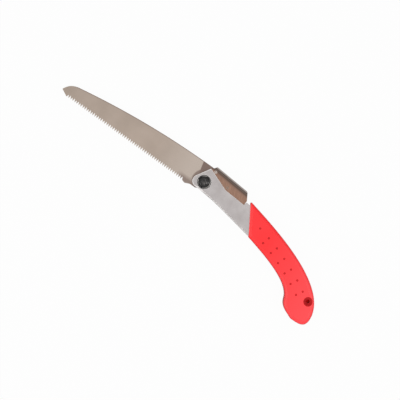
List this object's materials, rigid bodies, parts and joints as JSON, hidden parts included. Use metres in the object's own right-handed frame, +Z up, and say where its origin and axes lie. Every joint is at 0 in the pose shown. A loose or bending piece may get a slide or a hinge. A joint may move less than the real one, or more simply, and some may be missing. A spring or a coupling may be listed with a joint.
{
  "type": "folding pruning saw",
  "caption": "Folding pruning saw, open: a long toothed blade pivots between two side plates, is held by a sprung lock lever and folds into a slot in a curved moulded grip.",
  "frame": {"origin": "on the pivot's axis, at the flat end of the pivot screw, which lies in the plane that the saw rests on", "axes": "+X from the pivot towards the grip's end, +Y towards the blade's back, +Z up along the pivot's axis, from the far side to the near side"},
  "size_m": [0.422, 0.1009, 0.02],
  "materials": {
    "side_plate": "brushed satin, with bright machined edges",
    "core_casting": "die-cast, bead blasted",
    "rivet_steel": "turned",
    "grip_red": "moulded elastomer, soft sheen",
    "black_oxide": "black oxide, slight gloss",
    "nylon": "natural moulded",
    "bush_brass": "turned",
    "spring_steel": "drawn wire, bright",
    "blade_steel": "ground, satin",
    "lever_steel": "polished, brushed across",
    "pin_steel": "bright riveted ends"
  },
  "bodies": {
    "handle": {"near_side_plate": "side_plate", "far_side_plate": "side_plate", "core": "core_casting", "core_rivets": "rivet_steel", "grip": "grip_red", "pivot_screw": "black_oxide", "pivot_cup_washer": "black_oxide", "wave_washer": "spring_steel", "pivot_bush": "bush_brass", "near_thrust_washer": "nylon", "far_thrust_washer": "nylon", "pivot_lock_washer": "black_oxide", "pivot_nut": "black_oxide", "lever_hinge_pin": "pin_steel", "lever_shims": "bush_brass", "lever_spring": "spring_steel"},
    "blade": {"blade": "blade_steel"},
    "lever": {"lock_lever": "lever_steel", "lock_pin": "pin_steel"}
  },
  "joints": [
    {"name": "blade_fold", "type": "hinge", "parent": "handle", "child": "blade", "pos_m": [0, 0, 0.01], "axis": [0, 0, 1], "range_deg": [0, 161.5]},
    {"name": "lever_press", "type": "hinge", "parent": "handle", "child": "lever", "pos_m": [0.0281, 0.0113, 0.01], "axis": [0, 0, 1], "range_deg": [-9, 0], "stiffness_Nm_per_rad": 1, "springref_deg": 5.73, "deforming": ["lever_spring"]}
  ]
}
